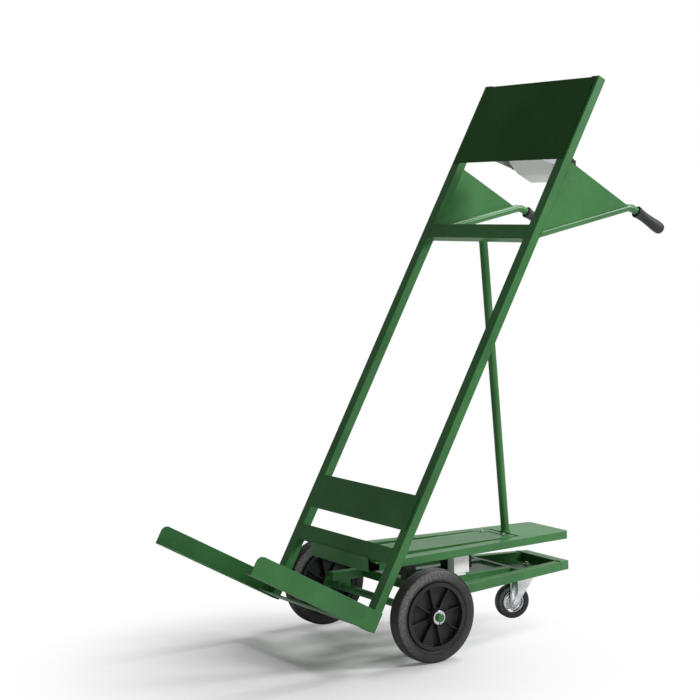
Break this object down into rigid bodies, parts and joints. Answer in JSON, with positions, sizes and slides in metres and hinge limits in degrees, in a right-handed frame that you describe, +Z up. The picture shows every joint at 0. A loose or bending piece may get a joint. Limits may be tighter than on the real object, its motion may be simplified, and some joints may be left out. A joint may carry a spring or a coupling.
{
  "type": "weighing hand truck",
  "caption": "Leaning two-rail hand truck for stacked crates, on load cells over a three-wheeled chassis, with a tilting weight indicator behind the top panel.",
  "frame": {"origin": "on the ground, under the middle of the truck's outline", "axes": "+X from the toe arms back to the grips, +Y to the operator's right across the truck, +Z up"},
  "size_m": [1.5818, 0.732, 1.7954],
  "materials": {
    "black_paint": "satin black",
    "black_plastic": "satin",
    "board": "solder mask",
    "dark_green_paint": "satin dark green enamel",
    "display": "lit from behind",
    "green_paint": "satin green enamel",
    "grip_rubber": "matt",
    "navy_plastic": "satin",
    "pale_plastic": "fine grain",
    "red_lens": "clear red",
    "stainless": "brushed",
    "tyre_rubber": "matt solid rubber",
    "zinc": "bright zinc plate"
  },
  "bodies": {
    "frame": {"axle": "green_paint", "back_cross_plate": "green_paint", "caster_floor": "green_paint", "caster_mount": "zinc", "cell_carrier": "green_paint", "chassis_front_beam": "green_paint", "chassis_left_beam": "green_paint", "chassis_middle_beam": "green_paint", "chassis_rear_beam": "green_paint", "chassis_right_beam": "green_paint", "deck_cross_beam": "green_paint", "deck_front_seat": "green_paint", "deck_left_beam": "green_paint", "deck_rear_plate": "green_paint", "deck_right_beam": "green_paint", "deck_tray": "green_paint", "front_load_cell": "black_paint", "indicator_bracket": "stainless", "junction_box_base": "pale_plastic", "junction_box_lid": "pale_plastic", "left_axle_ring": "zinc", "left_grip": "grip_rubber", "left_handle_gusset": "green_paint", "left_handle_tube": "green_paint", "left_rail": "green_paint", "left_toe_arm": "green_paint", "lower_cross_beam": "green_paint", "rear_load_cell": "black_paint", "rear_strut": "green_paint", "right_axle_ring": "zinc", "right_grip": "grip_rubber", "right_handle_gusset": "green_paint", "right_handle_tube": "green_paint", "right_rail": "green_paint", "right_toe_arm": "green_paint", "toe_cross_plate": "green_paint", "top_panel": "dark_green_paint", "upper_cross_beam": "green_paint"},
    "left_wheel": {"left_tyre": "tyre_rubber", "left_hub": "black_plastic"},
    "right_wheel": {"right_tyre": "tyre_rubber", "right_hub": "black_plastic"},
    "caster_fork": {"caster_fork": "zinc", "caster_axle_bolt": "zinc"},
    "caster_wheel": {"caster_hub": "zinc", "caster_tyre": "tyre_rubber"},
    "indicator_case": {"indicator_front_shell": "pale_plastic", "indicator_rear_shell": "pale_plastic", "indicator_circuit_board": "board", "indicator_battery": "black_plastic", "display_window": "display", "charge_lamp": "red_lens"},
    "left_clamp_knob": {"left_clamp_knob": "black_plastic"},
    "right_clamp_knob": {"right_clamp_knob": "black_plastic"},
    "key_1": {"key_1": "navy_plastic"},
    "key_2": {"key_2": "navy_plastic"},
    "key_3": {"key_3": "navy_plastic"},
    "key_4": {"key_4": "navy_plastic"},
    "key_5": {"key_5": "navy_plastic"},
    "key_6": {"key_6": "navy_plastic"}
  },
  "joints": [
    {"name": "left_wheel_spin", "type": "hinge", "parent": "frame", "child": "left_wheel", "pos_m": [-0.16605, -0.318, 0.145], "axis": [0, 1, 0], "continuous": true},
    {"name": "right_wheel_spin", "type": "hinge", "parent": "frame", "child": "right_wheel", "pos_m": [-0.16605, 0.318, 0.145], "axis": [0, 1, 0], "continuous": true},
    {"name": "caster_swivel", "type": "hinge", "parent": "frame", "child": "caster_fork", "pos_m": [0.43895, 0, 0.156], "axis": [0, 0, 1], "continuous": true},
    {"name": "caster_wheel_spin", "type": "hinge", "parent": "caster_fork", "child": "caster_wheel", "pos_m": [0.38559, 0.01331, 0.0575], "axis": [0.2419, 0.9703, 0], "continuous": true},
    {"name": "indicator_tilt", "type": "hinge", "parent": "frame", "child": "indicator_case", "pos_m": [0.52502, 0, 1.51943], "axis": [0, 1, 0], "range_deg": [-25, 30]},
    {"name": "left_clamp_turn", "type": "hinge", "parent": "indicator_case", "child": "left_clamp_knob", "pos_m": [0.52502, -0.14, 1.51943], "axis": [0, -1, 0], "range_deg": [0, 360]},
    {"name": "right_clamp_turn", "type": "hinge", "parent": "indicator_case", "child": "right_clamp_knob", "pos_m": [0.52502, 0.14, 1.51943], "axis": [0, 1, 0], "range_deg": [0, 360]},
    {"name": "key_1_press", "type": "slide", "parent": "indicator_case", "child": "key_1", "axis": [-0.7547, 0, -0.6561], "range_m": [0, 0.0008], "stiffness_N_per_m": 1500, "springref_m": -0.0005},
    {"name": "key_2_press", "type": "slide", "parent": "indicator_case", "child": "key_2", "axis": [-0.7547, 0, -0.6561], "range_m": [0, 0.0008], "stiffness_N_per_m": 1500, "springref_m": -0.0005},
    {"name": "key_3_press", "type": "slide", "parent": "indicator_case", "child": "key_3", "axis": [-0.7547, 0, -0.6561], "range_m": [0, 0.0008], "stiffness_N_per_m": 1500, "springref_m": -0.0005},
    {"name": "key_4_press", "type": "slide", "parent": "indicator_case", "child": "key_4", "axis": [-0.7547, 0, -0.6561], "range_m": [0, 0.0008], "stiffness_N_per_m": 1500, "springref_m": -0.0005},
    {"name": "key_5_press", "type": "slide", "parent": "indicator_case", "child": "key_5", "axis": [-0.7547, 0, -0.6561], "range_m": [0, 0.0008], "stiffness_N_per_m": 1500, "springref_m": -0.0005},
    {"name": "key_6_press", "type": "slide", "parent": "indicator_case", "child": "key_6", "axis": [-0.7547, 0, -0.6561], "range_m": [0, 0.0008], "stiffness_N_per_m": 1500, "springref_m": -0.0005}
  ]
}
